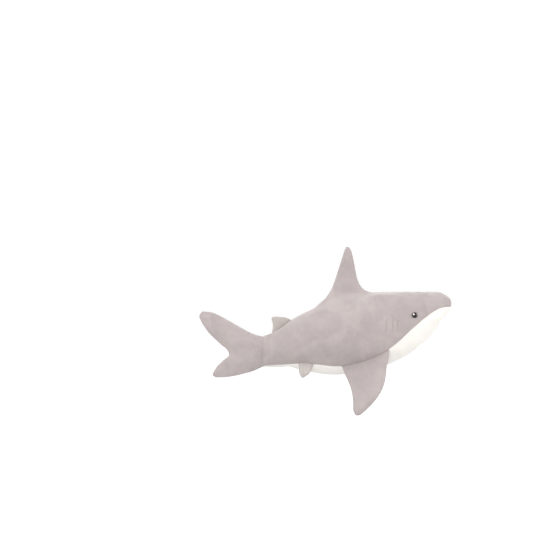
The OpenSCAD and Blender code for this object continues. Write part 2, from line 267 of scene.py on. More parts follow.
def tree_of(points):
    tree = kdtree.KDTree(len(points))
    for i, p in enumerate(points):
        tree.insert(p, i)
    tree.balance()
    return tree


def nearest(points, line):
    """For each point, how far the line of points is, and how far along the line the nearest is."""
    tree = tree_of(line)
    run = np.concatenate([[0], np.cumsum(np.linalg.norm(np.diff(line, axis=0), axis=1))])
    found = [tree.find(p) for p in points]
    return np.array([f[2] for f in found]), run[[f[1] for f in found]]


def relax(v, faces, weight, rounds):
    """Draws each point towards the middle of its neighbours by its weight."""
    edges = np.concatenate([faces[:, [k, (k + 1) % 4]] for k in range(4)])
    edges = np.unique(np.sort(edges, axis=1), axis=0)
    count = np.zeros(len(v))
    np.add.at(count, edges.ravel(), 1)
    for _ in range(rounds):
        total = np.zeros_like(v)
        np.add.at(total, edges[:, 0], v[edges[:, 1]])
        np.add.at(total, edges[:, 1], v[edges[:, 0]])
        v = v + weight[:, None] * (total / np.maximum(count, 1)[:, None] - v)
    return v


def opened(flat, reach=8):
    """A fin's [x, z] grid with its rows and columns drawn apart at the two corners of the tip, where
    the rim hardly turns. The rim stays."""
    rows, cols = flat.shape[:2]
    points = flat.reshape(-1, 2)
    corners = flat[-1, [0, -1]]
    far = np.linalg.norm(points[:, None] - corners[None], axis=2).min(1)
    weight = (0.5 * np.exp(-((far / reach) ** 2))).reshape(rows, cols)
    weight[0] = weight[-1] = weight[:, 0] = weight[:, -1] = 0
    return relax(points, grid_faces(rows, cols), weight.ravel(), 60).reshape(rows, cols, 2)


def lumps(points, size, seed):
    """Smooth noise from -1 to 1 at points in outline units, with humps about size across."""
    return np.array([noise.noise(Vector(p) / size + Vector((seed, seed, seed))) for p in points])


# ---------------------------------------------------------------- materials
class Tree:
    """A node tree, with short ways to add the nodes that the materials and the surround are made of."""

    def __init__(self, tree):
        self.nodes, self.links = tree.nodes, tree.links

    def put(self, node, values):
        """Sets the node's inputs. A value that is another node's output is linked."""
        for name, value in values.items():
            if isinstance(value, bpy.types.NodeSocket):
                self.links.new(value, node.inputs[name])
            else:
                node.inputs[name].default_value = value

    def add(self, kind, values, **settings):
        node = self.nodes.new(f"ShaderNode{kind}")
        for name, value in settings.items():
            setattr(node, name, value)
        self.put(node, values)
        return node

    def place(self):
        return self.add("TexCoord", {}).outputs["Object"]

    def noise(self, at, scale, detail=2.0, rough=0.5, distortion=0.0):
        grain = {"Scale": scale, "Detail": detail, "Roughness": rough, "Distortion": distortion}
        return self.add("TexNoise", {**grain, "Vector": at}).outputs["Fac"]

    def spread(self, value, low, high, start=0.3, end=0.7):
        values = {"From Min": start, "From Max": end, "To Min": low, "To Max": high, "Value": value}
        return self.add("MapRange", values).outputs["Result"]

    def maths(self, operation, a, b):
        return self.add("Math", {0: a, 1: b}, operation=operation).outputs[0]

    def tint(self, colour, shade):
        return self.add("VectorMath", {0: colour, "Scale": shade}, operation="SCALE").outputs["Vector"]

    def bump(self, height, strength, distance):
        values = {"Strength": strength, "Distance": distance, "Height": height}
        return self.add("Bump", values).outputs["Normal"]


def new_material(name, colour, roughness):
    m = bpy.data.materials.new(name)
    m.use_nodes = True
    shader = m.node_tree.nodes["Principled BSDF"]
    shader.inputs["Roughness"].default_value = roughness
    m.diffuse_color = (*colour, 1)
    return m, Tree(m.node_tree), shader


def velour(name, colour, nap=0.07, mottle=0.03, fibre=0.05, sheen=0.55, seed=0.0):
    """Short-pile velour: soft patches where the nap lies another way, a fine mottle and fibre ends."""
    m, tree, shader = new_material(name, colour, 0.92)
    shift = {"Location": (seed, seed * 0.7, seed * 1.3), "Vector": tree.place()}
    at = tree.add("Mapping", shift).outputs["Vector"]
    lie = tree.add("Mapping", {"Scale": (0.35, 1.0, 1.0), "Vector": at}).outputs["Vector"]
    brushed = tree.spread(tree.noise(at, 11, 3.0, 0.5, 1.4), 1 - nap, 1, 0.45, 0.55)
    clouds = tree.spread(tree.noise(at, 34), 1 - nap / 2, 1 + nap / 2)
    mottled = tree.spread(tree.noise(at, 130, 3.0, 0.6), 1 - mottle, 1 + mottle)
    fibres = tree.noise(lie, 2100, 2.0, 0.6)
    shade = tree.spread(fibres, 1 - fibre, 1 + fibre)
    for part in (mottled, clouds, brushed):
        shade = tree.maths("MULTIPLY", shade, part)
    pile = tree.maths("ADD", fibres, tree.maths("MULTIPLY", tree.noise(lie, 620), 1.6))
    tree.put(shader, {"Base Color": tree.tint(colour, shade), "Normal": tree.bump(pile, 0.35, 0.0006),
                      "Specular IOR Level": 0.15, "Sheen Weight": sheen, "Sheen Roughness": 0.45,
                      "Sheen Tint": (1.0, 0.98, 0.97, 1)})
    return m


def fibre_fill(name):
    """Loose polyester fibre: white, with soft clumps and fine crossing strands."""
    m, tree, shader = new_material(name, (0.85, 0.85, 0.83), 0.85)
    at = tree.place()
    clumps = tree.spread(tree.noise(at, 90, 4.0, 0.6, 1.0), 0.82, 0.98)
    strands = tree.bump(tree.noise(at, 900, 4.0, 0.7, 2.0), 0.6, 0.001)
    tree.put(shader, {"Base Color": tree.tint((0.93, 0.93, 0.91), clumps), "Normal": strands,
                      "Sheen Weight": 0.2})
    return m


def eye_gloss(name):
    """Black moulded plastic, polished, with the faint unevenness of a moulded dome."""
    m, tree, shader = new_material(name, (0.014, 0.009, 0.008), 0.08)
    at = tree.place()
    tone = tree.spread(tree.noise(at, 300), 0.7, 1.3)
    tree.put(shader, {"Roughness": tree.spread(tree.noise(at, 900, 3.0), 0.05, 0.13),
                      "Base Color": tree.tint((0.016, 0.010, 0.009), tone), "Specular IOR Level": 0.2,
                      "Coat Weight": 1.0, "Coat Roughness": 0.03, "Coat IOR": 1.6})
    return m


def washer_plastic(name):
    """White moulded plastic with a fine spark-eroded grain."""
    m, tree, shader = new_material(name, (0.8, 0.8, 0.78), 0.5)
    at = tree.place()
    tone = tree.spread(tree.noise(at, 260), 0.95, 1.03)
    grain = tree.bump(tree.noise(at, 1500), 0.15, 0.0002)
    tree.put(shader, {"Base Color": tree.tint((0.82, 0.82, 0.79), tone), "Normal": grain})
    return m


def thread(name, colour):
    """Embroidery thread: fine twisted strands with a faint sheen."""
    m, tree, shader = new_material(name, colour, 0.6)
    values = {"Scale": 1400, "Distortion": 1.5, "Vector": tree.place()}
    strands = tree.add("TexWave", values, bands_direction="DIAGONAL").outputs["Fac"]
    tree.put(shader, {"Base Color": tree.tint(colour, tree.spread(strands, 0.85, 1.08, 0, 1)),
                      "Normal": tree.bump(strands, 0.4, 0.0002), "Sheen Weight": 0.15,
                      "Specular IOR Level": 0.15})
    return m


def paper(name):
    """White studio paper, lit from behind."""
    m, tree, shader = new_material(name, (0.8, 0.8, 0.8), 0.9)
    tone = tree.spread(tree.noise(tree.place(), 3), 0.99, 1.01)
    tree.put(shader, {"Base Color": tree.tint((0.8, 0.8, 0.8), tone), "Specular IOR Level": 0.1,
                      "Emission Color": (1, 1, 1, 1), "Emission Strength": FLOOR_GLOW})
    return m


GREY = velour("velour_grey", (0.405, 0.353, 0.347), seed=5.2)
# Painted light: a paler copy of the grey velour for the second dorsal and pelvic fins, standing for the
# light these fins catch; their cloth is the body's grey
GREY_PAINTED_LIT = velour("velour_light_grey", (0.465, 0.42, 0.40), seed=3.0)
CREAM = velour("velour_cream", (0.82, 0.785, 0.745), nap=0.02, mottle=0.015, fibre=0.03, sheen=0.2,
               seed=5.0)
FILLING = fibre_fill("polyester_filling")
EYE = eye_gloss("eye_gloss")
WASHER = washer_plastic("washer_plastic")
THREAD = thread("gill_thread", (0.45, 0.39, 0.383))


# ---------------------------------------------------------------- meshes
def mesh_object(name, points, faces, material, normals=None):
    """A smooth object from points in metres. normals, one for each point, replace the computed ones."""
    me = bpy.data.meshes.new(name)
    me.from_pydata([tuple(p) for p in points], [], [tuple(int(k) for k in f) for f in faces])
    me.polygons.foreach_set("use_smooth", [True] * len(me.polygons))
    me.update()
    if normals is not None:
        me.normals_split_custom_set_from_vertices([tuple(n) for n in normals])
    me.materials.append(material)
    obj = bpy.data.objects.new(name, me)
    bpy.context.scene.collection.objects.link(obj)
    return obj


def boundary_edges(faces):
    edges = np.concatenate([faces[:, [k, (k + 1) % 4]] for k in range(4)])
    keys = np.sort(edges, axis=1)
    _, index, count = np.unique(keys, axis=0, return_index=True, return_counts=True)
    return edges[index[count == 1]]


def packed(points, faces):
    """The numbers of the points that the faces use, and the faces in terms of those."""
    used = np.unique(faces)
    lookup = np.full(len(points), -1)
    lookup[used] = np.arange(len(used))
    return used, lookup[faces]


def closed(a, b, faces):
    """Two faces of the same mesh, joined along their rims into one closed mesh."""
    edges = boundary_edges(faces)
    size = len(a)
    rim = np.stack([edges[:, 1], edges[:, 0], edges[:, 0] + size, edges[:, 1] + size], 1)
    return np.vstack([a, b]), np.vstack([faces, faces[:, ::-1] + size, rim])


def cloth_shell(points, faces, inward, normals, keep=None):
    """The closed shell of a cloth panel: its face, its back CLOTH further in, and its cut edge. keep
    moves back points that would pass the seam. Returns points in metres, faces and normals."""
    used, f = packed(points, faces)
    outer, n = points[used] * MM, normals[used]
    inner = outer - inward[used] * CLOTH
    if keep is not None:
        inner = keep(inner)
    return *closed(outer, inner, f), np.vstack([n, -n])


def mirrored(points, faces, *normals):
    return points * FLIP, faces[:, ::-1], *(n * FLIP for n in normals)


def add_piece(name, made, material, nodes, blend=None):
    """A piece from its points, faces and perhaps normals, which hides the CAD parts it stands for. It
    rides on the torso unless a blend is given; then it is left on no body."""
    obj = mesh_object(name, *made[:2], material, *made[2:])
    if blend:
        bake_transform(obj)
    else:
        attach(obj, "torso")
    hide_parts(*nodes)


def dips(points, normals, seams, depth, width, pucker=0.28, pitch=8.5):
    """The points, drawn in along the seams, with small puckers beside them."""
    total = np.zeros(len(points))
    for number, line in enumerate(seams):
        far, run = nearest(points, line)
        total += depth * np.exp(-((far / width) ** 2))
        wave = np.sin(2 * np.pi * run / pitch + 2.2 * np.sin(run / 31 + number))
        total += pucker * np.exp(-(((far - 4.5) / 3.5) ** 2)) * (0.5 + 0.5 * wave)
    return points - normals * total[:, None]


# ---------------------------------------------------------------- stuffing
class Stuffing:
    """How the filling swells the sewn skin. The whole skin is remeshed and run as cloth with a little
    spare length under pressure, held along its seams and at the eyes. moved() carries what it does
    over to points of the finished cloth."""
    VOXEL, FRAMES, PRESSURE, SPARE, LIMIT = 0.0045, 20, 3.0, 0.03, 0.003

    def __init__(self, solids, held):
        points, faces, first = [], [], 0
        for v, f in solids:
            points.append(v * MM)
            faces += [tuple(int(k) + first for k in face) for face in f]
            first += len(v)
        rough = self.raw_object("rough_skin", np.vstack(points), faces)
        remesh = rough.modifiers.new("remesh", "REMESH")
        remesh.mode = "VOXEL"
        remesh.voxel_size = self.VOXEL
        self.start, self.faces = self.evaluated(rough)
        bpy.data.objects.remove(rough)
        move = self.evened(self.swollen(held * MM) - self.start, 3)
        length = np.maximum(np.linalg.norm(move, axis=1, keepdims=True), 1e-9)
        self.move = move / length * self.LIMIT * np.tanh(length / self.LIMIT)
        self.tree = BVHTree.FromPolygons([tuple(p) for p in self.start], self.faces)

    def swollen(self, held):
        """The remeshed skin's points after the run, with those near the held points pinned."""
        skin_object = self.raw_object("swelling_skin", self.start, self.faces)
        group = skin_object.vertex_groups.new(name="seams")
        tree = tree_of(held)
        near = [i for i, p in enumerate(self.start) if tree.find(p)[2] < 0.75 * self.VOXEL]
        group.add(near, 1.0, "REPLACE")
        cloth = skin_object.modifiers.new("cloth", "CLOTH").settings
        cloth.quality = 6
        cloth.mass = 0.2
        cloth.tension_stiffness = cloth.compression_stiffness = 12
        cloth.shear_stiffness = 6
        cloth.bending_stiffness = 0.4
        cloth.use_pressure = True
        cloth.uniform_pressure_force = self.PRESSURE
        cloth.shrink_min = -self.SPARE
        cloth.vertex_group_mass = "seams"
        cloth.effector_weights.gravity = 0
        for number in range(1, self.FRAMES + 1):
            bpy.context.scene.frame_set(number)
        end, _ = self.evaluated(skin_object)
        bpy.context.scene.frame_set(1)
        bpy.data.objects.remove(skin_object)
        return end

    def evened(self, move, rounds):
        """The moves, with the remesh's own ripple taken out."""
        edges = np.array([(f[k - 1], f[k]) for f in self.faces for k in range(len(f))])
        count = np.bincount(edges[:, 0], minlength=len(move))[:, None]
        for _ in range(rounds):
            total = np.zeros_like(move)
            np.add.at(total, edges[:, 0], move[edges[:, 1]])
            move = 0.5 * move + 0.5 * total / np.maximum(count, 1)
        return move

    @staticmethod
    def raw_object(name, points, faces):
        me = bpy.data.meshes.new(name)
        me.from_pydata([tuple(p) for p in points], [], faces)
        obj = bpy.data.objects.new(name, me)
        bpy.context.scene.collection.objects.link(obj)
        return obj

    @staticmethod
    def evaluated(obj):
        found = obj.evaluated_get(bpy.context.evaluated_depsgraph_get())
        me = found.to_mesh()
        points = np.zeros(len(me.vertices) * 3)
        me.vertices.foreach_get("co", points)
        faces = [tuple(f.vertices) for f in me.polygons]
        found.to_mesh_clear()
        return points.reshape(-1, 3), faces

    def moved(self, points):
        """The points, in millimetres, moved as the skin beside them was."""
        out = points.copy()
        for i, p in enumerate(points * MM):
            spot, _, face, _ = self.tree.find_nearest(p)
            corners = self.faces[face]
            shares = poly_3d_calc([Vector(self.start[k]) for k in corners], spot)
            out[i] += sum(w * self.move[k] for w, k in zip(shares, corners)) / MM
        return out


# ---------------------------------------------------------------- body
def body_columns():
    """The body's columns as section numbers, closer together towards the nose, and with a column at
    the split and at each end of the dorsal fin."""
    u = np.linspace(0, len(SECTIONS) - 1, 6001)
    s = through(SECTIONS, u)
    run = np.concatenate([[0], np.cumsum(np.linalg.norm(np.diff(s[:, [0, 1, 3]], axis=0), axis=1))])
    stops = [0, *section_at([SPLIT_X, *DORSAL_ENDS]), len(SECTIONS) - 1]
    found = []
    for k, (a, b) in enumerate(zip(stops, stops[1:])):
        ra, rb = np.interp([a, b], u, run)
        n = max(2, round((rb - ra) / COLUMN_STEP))
        share = clustered(n) if k == 2 else clustered(n, end=False) if k == 0 else np.linspace(0, 1, n + 1)
        found.append(np.interp(ra + (rb - ra) * share, run, u)[(1 if k else 0):])
    return np.concatenate(found)


def dorsal_half(s, h):
    """Half the dorsal fin's thickness: s from its rear edge to its front edge, h from root to tip."""
    lens = np.clip(4 * s * (1 - s), 0, 1) ** 0.8
    return DORSAL_HALF * lens * (1 - 0.45 * h) * np.sqrt(np.clip(1 - h**5, 0, 1))


def edge_distance(flat, *edges):
    """How far each [x, z] point is from the curves of a fin's rim."""
    line = np.vstack([along(edge, np.linspace(0, 1, 400)) for edge in edges])
    tree = tree_of(np.column_stack([line, np.zeros(len(line))]))
    return np.array([tree.find((x, z, 0))[2] for x, z in flat.reshape(-1, 2)]).reshape(flat.shape[:-1])


class HalfBody:
    """The right half of the body's skin with the dorsal fin's right face, as one surface."""

    def __init__(self):
        self.u = body_columns()
        self.raise_fin(self.lay_body())
        self.hold_middle()
        self.fillet()
        self.find_seams()

    def lay_body(self):
        """The body's skin: columns along it, and rows from the back to the middle of the belly. Where
        the dorsal fin stands, the rows start at the fin's root."""
        sections = through(SECTIONS, self.u)
        self.split = int(np.argmin(abs(sections[:, 0] - SPLIT_X)))
        self.s = (sections[:, 0] - DORSAL_ENDS[0]) / (DORSAL_ENDS[1] - DORSAL_ENDS[0])
        root_half = np.where((self.s > 0) & (self.s < 1), dorsal_half(np.clip(self.s, 0, 1), 0.0), 0)
        root = np.arcsin(np.clip(root_half / sections[:, 3], 0, 1) ** (ROUNDNESS / 2))
        seam = angle_at(self.u, sections[:, 4])
        side = root + (seam - root) * clustered(SIDE_ROWS)[:, None]
        under = seam + (np.pi - seam) * clustered(BELLY_ROWS, end=False)[1:, None]
        angles = np.vstack([side, under])
        self.rows, self.cols = angles.shape
        return skin(np.broadcast_to(self.u, angles.shape), angles)

    def raise_fin(self, grid):
        """The body's points and faces, with the dorsal fin's face growing from the top row."""
        c = self.fin_cols = np.where((self.s > -1e-4) & (self.s < 1.0001))[0]
        share = np.clip(self.s[c], 0, 1)
        h = clustered(FIN_ROWS, start=False)
        top = grid[0, c][:, [0, 2]]
        rear, front = np.vstack([top[:1], DORSAL_REAR]), np.vstack([top[-1:], DORSAL_FRONT])
        flat = opened(patch(top, along(DORSAL_TIP, share), along(rear, h), along(front, h), share, h))[1:]
        edge = roll(edge_distance(flat, rear, front, DORSAL_TIP)) * smooth(h[1:, None] / 0.15)
        y = -dorsal_half(share[None], h[1:, None]) - edge
        fin = np.stack([flat[..., 0], y, flat[..., 1]], -1)
        ids = np.vstack([c, self.rows * self.cols + np.arange(y.size).reshape(y.shape)])
        fin_faces = np.stack([ids[1:, :-1], ids[:-1, :-1], ids[:-1, 1:], ids[1:, 1:]], -1).reshape(-1, 4)
        body_faces = grid_faces(self.rows, self.cols)
        self.fin_ids, self.body_faces = ids, len(body_faces)
        self.v = np.vstack([grid.reshape(-1, 3), fin.reshape(-1, 3)])
        self.faces = np.vstack([body_faces, fin_faces])

    def hold_middle(self):
        """Marks the points that belong on the middle plane, and puts them there."""
        ids, row = self.fin_ids, np.arange(self.cols)
        self.middle = np.zeros(len(self.v), bool)
        self.middle[row] = np.isin(row, self.fin_cols[1:-1], invert=True)
        self.middle[ids[:, 0]] = self.middle[ids[:, -1]] = self.middle[ids[-1]] = True
        self.middle[(self.rows - 1) * self.cols + row] = True
        self.v[self.middle, 1] = 0

    def find_seams(self):
        v, ids, cols = self.v, self.fin_ids, self.cols
        first, last = self.fin_cols[[0, -1]]
        over_fin = [v[ids[:, 0]], v[ids[-1]][1:], v[ids[::-1, -1]][1:]]
        self.back_seam = np.vstack([v[:first], *over_fin, v[last + 1:cols]])
        self.belly_seam = v[SIDE_ROWS * cols:(SIDE_ROWS + 1) * cols]
        self.tail_seam = v[np.arange(self.rows) * cols]

    def find_normals(self, faces=None):
        """Normals from the faces given, or from all. They are level where no seam runs on the middle."""
        n = vertex_normals(self.v, self.faces if faces is None else faces)
        n[(self.rows - 1) * self.cols:self.rows * self.cols, 1] = 0
        return n / np.maximum(np.linalg.norm(n, axis=1, keepdims=True), 1e-12)

    def solid(self):
        """The closed skin of the whole body."""
        size = len(self.v)
        other = self.faces[:, ::-1] + size
        tail = np.arange(self.rows) * self.cols
        nose = tail + self.cols - 1
        caps = [[*tail, *(tail[::-1] + size)], [*nose[::-1], *(nose + size)]]
        return np.vstack([self.v, self.v * FLIP]), [*self.faces, *other, *caps]

    def fillet(self):
        """Rounds the corner between the back and the dorsal fin."""
        far, _ = nearest(self.v, self.v[self.fin_ids[0]])
        weight = 0.5 * np.exp(-((far / 10) ** 2))
        weight[self.middle] = 0
        self.v = relax(self.v, self.faces, weight, 60)

    def shape_cloth(self):
        """Swells the skin as the filling does, then draws it in at the seams and the eye."""
        low = self.v.copy()
        self.v = stuffing.moved(self.v)
        self.v[self.middle, 1] = 0
        self.normals = self.find_normals()
        v = dips(self.v, self.normals, [self.back_seam], *BACK_GROOVE)
        v = dips(v, self.normals, [self.belly_seam], *BELLY_GROOVE)
        to_nose, to_tail = SECTIONS[-1][0] - low[:, 0], low[:, 0] - SECTIONS[0][0]
        fade = smooth(to_nose / NOSE_FADE) * smooth(to_tail / STALK_FADE)
        v = self.v + (v - self.v) * fade[:, None]
        v = dips(v, self.normals, [self.tail_seam], *TAIL_GROOVE)
        seam_far = np.minimum(nearest(self.v, self.back_seam)[0], nearest(self.v, self.belly_seam)[0])
        room = smooth(seam_far / 12)
        self.v = v + self.normals * (room * LUMP_HEIGHT * lumps(self.v, LUMP_SIZE, 3.7))[:, None]
        far = np.linalg.norm(self.v - eye_spot(), axis=1)
        self.v = self.v - self.normals * (EYE_DENT[0] * np.exp(-((far / EYE_DENT[1]) ** 2)))[:, None]
        self.v[:, 1] = np.where(self.middle, 0, np.minimum(self.v[:, 1], 0.4 * low[:, 1]))
        self.normals = self.find_normals()
        side = self.part((0, SIDE_ROWS), (0, self.cols - 1), fin=True)
        self.side_normals = self.find_normals(side)
        self.belly_normals = self.find_normals(self.part((SIDE_ROWS, self.rows - 1), (0, self.cols - 1)))

    def part(self, rows, cols, fin=False):
        """Faces of the given rows and columns, with the dorsal fin's if asked for."""
        i, j = np.divmod(np.arange(self.body_faces), self.cols - 1)
        chosen = (i >= rows[0]) & (i < rows[1]) & (j >= cols[0]) & (j < cols[1])
        found = self.faces[:self.body_faces][chosen]
        return np.vstack([found, self.faces[self.body_faces:]]) if fin else found


def on_right(points):
    """Keeps the back of a right panel on its own side of the middle plane."""
    out = points.copy()
    out[:, 1] = np.minimum(out[:, 1], -0.1 * MM)
    return out


def bend_zone(zone, height):
    """The two places along X between which the tail or its fin turns."""
    return [(x * MM, 0, height * MM) for x in zone]


def fold_zone(joint, turn):
    """The two places above a fold's axis between which the cloth turns."""
    axis, at = joints[joint]["axis"], np.array(joints[joint]["pos_m"])
    up = np.array([-axis[2], 0, axis[0]])
    return [tuple(at + up * t * MM) for t in turn]


def body_blend(kind):
    if kind == "tail":
        return "torso", "tail", *bend_zone(TAIL_ZONE, TAIL_HEIGHT)
    return "torso", "dorsal_fin", *fold_zone("dorsal_fin_fold", DORSAL_TURN)


def sew_body():
    panel_parts = {
        "front": (half.part((0, SIDE_ROWS), (half.split, ALL), fin=True), body_blend("dorsal")),
        "rear": (half.part((0, SIDE_ROWS), (0, half.split)), body_blend("tail"))}
    nodes = {"front": ["side_panel_{}", "dorsal_fin_face_{}"], "rear": ["tail_side_panel_{}"]}
    for end, (faces, blend) in panel_parts.items():
        shell = cloth_shell(half.v, faces, half.normals, half.side_normals, on_right)
        for side, made in (("right", shell), ("left", mirrored(*shell))):
            stood_for = [n.format(side) for n in nodes[end]]
            add_piece(f"side_panel_{side}_{end}", made, GREY, stood_for, blend)


def belly():
    """The belly panel, from one side seam under the body to the other."""
    faces = half.part((SIDE_ROWS, half.rows - 1), (0, ALL))
    right, f, n = cloth_shell(half.v, faces, half.normals, half.belly_normals)
    middle = np.tile(np.unique(faces) >= (half.rows - 1) * half.cols, 2)
    right[middle, 1] = 0
    f = f[~middle[f].all(axis=1)]
    left, g, m = mirrored(right, f, n)
    shared = np.arange(len(right)) + np.where(middle, 0, len(right))
    points, faces = np.vstack([right, left]), np.vstack([f, shared[g]])
    used, faces = packed(points, faces)
    return points[used], faces, np.vstack([n, m])[used]


def sew_belly():
    nodes = ["belly_panel", "tail_belly_panel"]
    add_piece("belly_panel_cloth", belly(), CREAM, nodes, body_blend("tail"))


# ---------------------------------------------------------------- fins
def pillow(full, pinch, round_s=0.8, rise=0.42):
    """Half the thickness of a stuffed fin that is sewn flat at its root."""
    def half_at(s, h):
        lens = np.clip(4 * s * (1 - s), 0, 1) ** round_s
        grow = pinch / full + (1 - pinch / full) * np.sin(np.pi / 2 * np.clip(h / rise, 0, 1)) ** 0.8
        return full * lens * grow * (1 - 0.35 * h) * np.sqrt(np.clip(1 - h**4, 0, 1))
    return half_at


def caudal_half(s, h):
    """The tail fin's half thickness: the stalk's own section at the root, flattening to its edges."""
    stalk = (SECTIONS[0][3] - STALK_TUCK) * (1 - np.abs(2 * s - 1) ** ROUNDNESS) ** (1 / ROUNDNESS)
    lens = np.clip(4 * s * (1 - s), 0, 1) ** 0.7
    t = smooth(h / 0.4)
    body = (1 - t) * stalk + t * CAUDAL_HALF * lens
    return body * (1 - 0.25 * h) * np.sqrt(np.clip(1 - h**3, 0, 1))


class Fin:
    """A stuffed fin of two faces sewn together along the rim. root, rear, front and tip are curves of
    [x, z], half_at(s, h) is half its thickness, and place(x, z, out) gives a point in the toy."""

    def __init__(self, root, rear, front, tip, half_at, place, columns, rows):
        s, h = clustered(columns), clustered(rows)
        self.shape = (rows + 1, columns + 1)
        flat = opened(patch(along(root, s), along(tip, s), along(rear, h), along(front, h), s, h))
        far = edge_distance(flat, rear, front, tip)
        self.thick = (half_at(s[None], h[:, None]) + roll(far)).ravel()
        self.x, self.z = flat.reshape(-1, 2).T
        self.place = place
        self.centre = self.at(0)
        out = self.at(1) - self.centre
        self.out = out / np.linalg.norm(out, axis=1, keepdims=True)
        rim = np.zeros(self.shape, bool)
        rim[:, 0] = rim[:, -1] = rim[-1] = True
        self.rim = rim.ravel()
        self.thick[self.rim] = 0
        ids = np.arange(self.rim.size).reshape(self.shape)
        self.rim_ids = np.concatenate([ids[:, 0], ids[-1, 1:], ids[::-1, -1][1:]])
        self.root_ids = ids[0]
        self.faces = grid_faces(*self.shape)
        n = vertex_normals(self.at(1, thick=True), self.faces)
        if np.sum((n * self.out).sum(1)) < 0:
            self.faces = self.faces[:, ::-1]

    def at(self, face, thick=False):
        return self.place(self.x, self.z, face * (self.thick if thick else 1.0) + 0 * self.x)

    def solid(self):
        """The closed skin of the fin."""
        a, b = self.at(1, thick=True), self.at(-1, thick=True)
        size = len(a)
        root = [[j, i, i + size, j + size] for i, j in zip(self.root_ids, self.root_ids[1:])]
        return np.vstack([a, b]), [*self.faces, *(self.faces[:, ::-1] + size), *root]

    def seams(self):
        return np.vstack([self.centre[self.rim_ids], self.centre[self.root_ids]])

    def shells(self, seam_depth, lump, seed, inset=2.0):
        """The two faces as shells of cloth, the one on the side of out first."""
        line = self.centre[self.rim_ids]
        made = []
        self.final = []
        for face in (1, -1):
            low = self.at(face, thick=True)
            f = self.faces if face > 0 else self.faces[:, ::-1]
            v = stuffing.moved(low)
            n = vertex_normals(v, f)
            far, _ = nearest(v, line)
            v = dips(v, n, [line], seam_depth, 0.9, pucker=0.22, pitch=7.5)
            v = v + n * (smooth(far / 9) * lump * lumps(v, 26, 11.3 + seed + face))[:, None]
            v[self.rim] -= self.out[self.rim] * self.away(v, 1)[self.rim, None]
            edge = v[self.rim] if face > 0 else edge
            v[self.rim] = edge
            v = self.clear(v, face, 0.45 * self.away(low, face))
            n = vertex_normals(v, f)
            self.final.append(v - n * inset)

            def keep(points, face=face):
                return self.clear(points / MM, face) * MM
            made.append(cloth_shell(v, f, n, n, keep))
        return made

    def away(self, points, face):
        return ((points - self.centre) * self.out).sum(1) * face

    def clear(self, points, face, least=0.12):
        """The points, kept on their own side of the fin's middle."""
        return points + self.out * (face * np.maximum(least - self.away(points, face), 0))[:, None]

    def pad(self):
        """The fin's filling: a closed pad just inside the two shells."""
        rows, cols = self.shape
        ids = np.arange(rows * cols).reshape(rows, cols)
        ids = ids[1:int(rows * 0.9):2, int(cols * 0.12):int(cols * 0.88):2]
        a, b = (self.clear(v, face)[ids.ravel()] * MM for v, face in zip(self.final, (1, -1)))
        faces = grid_faces(*ids.shape)
        if vertex_normals(a, faces).sum(0) @ self.out.sum(0) < 0:
            faces = faces[:, ::-1]
        return closed(a, b, faces)


def upright(x, z, out):
    return np.stack([x, -out, z], -1)


def back_line(ends, depth):
    """A fin's root along the back, sunk by depth."""
    x = np.linspace(*ends, 12)
    return np.column_stack([x, through(SECTIONS, section_at(x))[:, 1] - depth])


def seam_frame(x):
    """The left side's belly seam at places along X, and the direction into the body there."""
    u = section_at(x)
    a = angle_at(u, through(SECTIONS, u)[..., 4])
    along_seam = skin(u + 0.02, a) - skin(u - 0.02, a)
    round_seam = skin(u, a + 0.01) - skin(u, a - 0.01)
    inward = np.cross(round_seam, along_seam)
    inward /= np.linalg.norm(inward, axis=-1, keepdims=True)
    inward *= np.where(inward[..., 1:2] < 0, -1, 1)
    return skin(u, a) * FLIP, inward * FLIP


def leaning(joint, splay, ends, sink):
    """A placing function for a left fin that hangs from the belly seam. The fin lies in a plane
    through its joint's axis, and its root is drawn over to the seam and sunk a little into it."""
    at, axis = np.array(joint["pos_m"]) / MM, np.array(joint["axis"])
    slope = math.tan(math.radians(splay))
    normal = np.cross(axis, [0, slope, -1])
    normal /= np.linalg.norm(normal)
    xs = np.linspace(ends[0], ends[1], 60)
    seam, inward = seam_frame(xs)
    root_line = seam + inward * sink

    def plane(x, z):
        base = at + axis * ((x - at[0]) / axis[0])[..., None]
        return np.stack([x, base[..., 1] + (base[..., 2] - z) * slope, z], -1)

    def place(x, z, out):
        sx = np.clip(x, ends[0], ends[1])
        root = np.stack([np.interp(sx, xs, root_line[:, k]) for k in range(3)], -1)
        seam_z = np.interp(sx, xs, seam[:, 2])
        hold = 1 - smooth((seam_z - z) / 16)
        shift = (root - plane(sx, seam_z)) * hold[..., None]
        return plane(x, z) + shift * np.array([0, 1, 1]) + normal * np.asarray(out)[..., None]
    return place


def seam_line(ends):
    x = np.linspace(*ends, 9)
    return np.column_stack([x, seam_frame(x)[0][:, 2]])


def joined(start, points):
    return np.vstack([start[None], points])


def flap_zone(joint, splay, turn):
    """The two places down a left fin from its axis between which the cloth turns."""
    axis, at = np.array(joint["axis"]), np.array(joint["pos_m"])
    down = np.array([0, math.sin(math.radians(splay)), -math.cos(math.radians(splay))])
    down -= axis * (down @ axis)
    down /= np.linalg.norm(down)
    return [at + down * t * MM for t in turn]


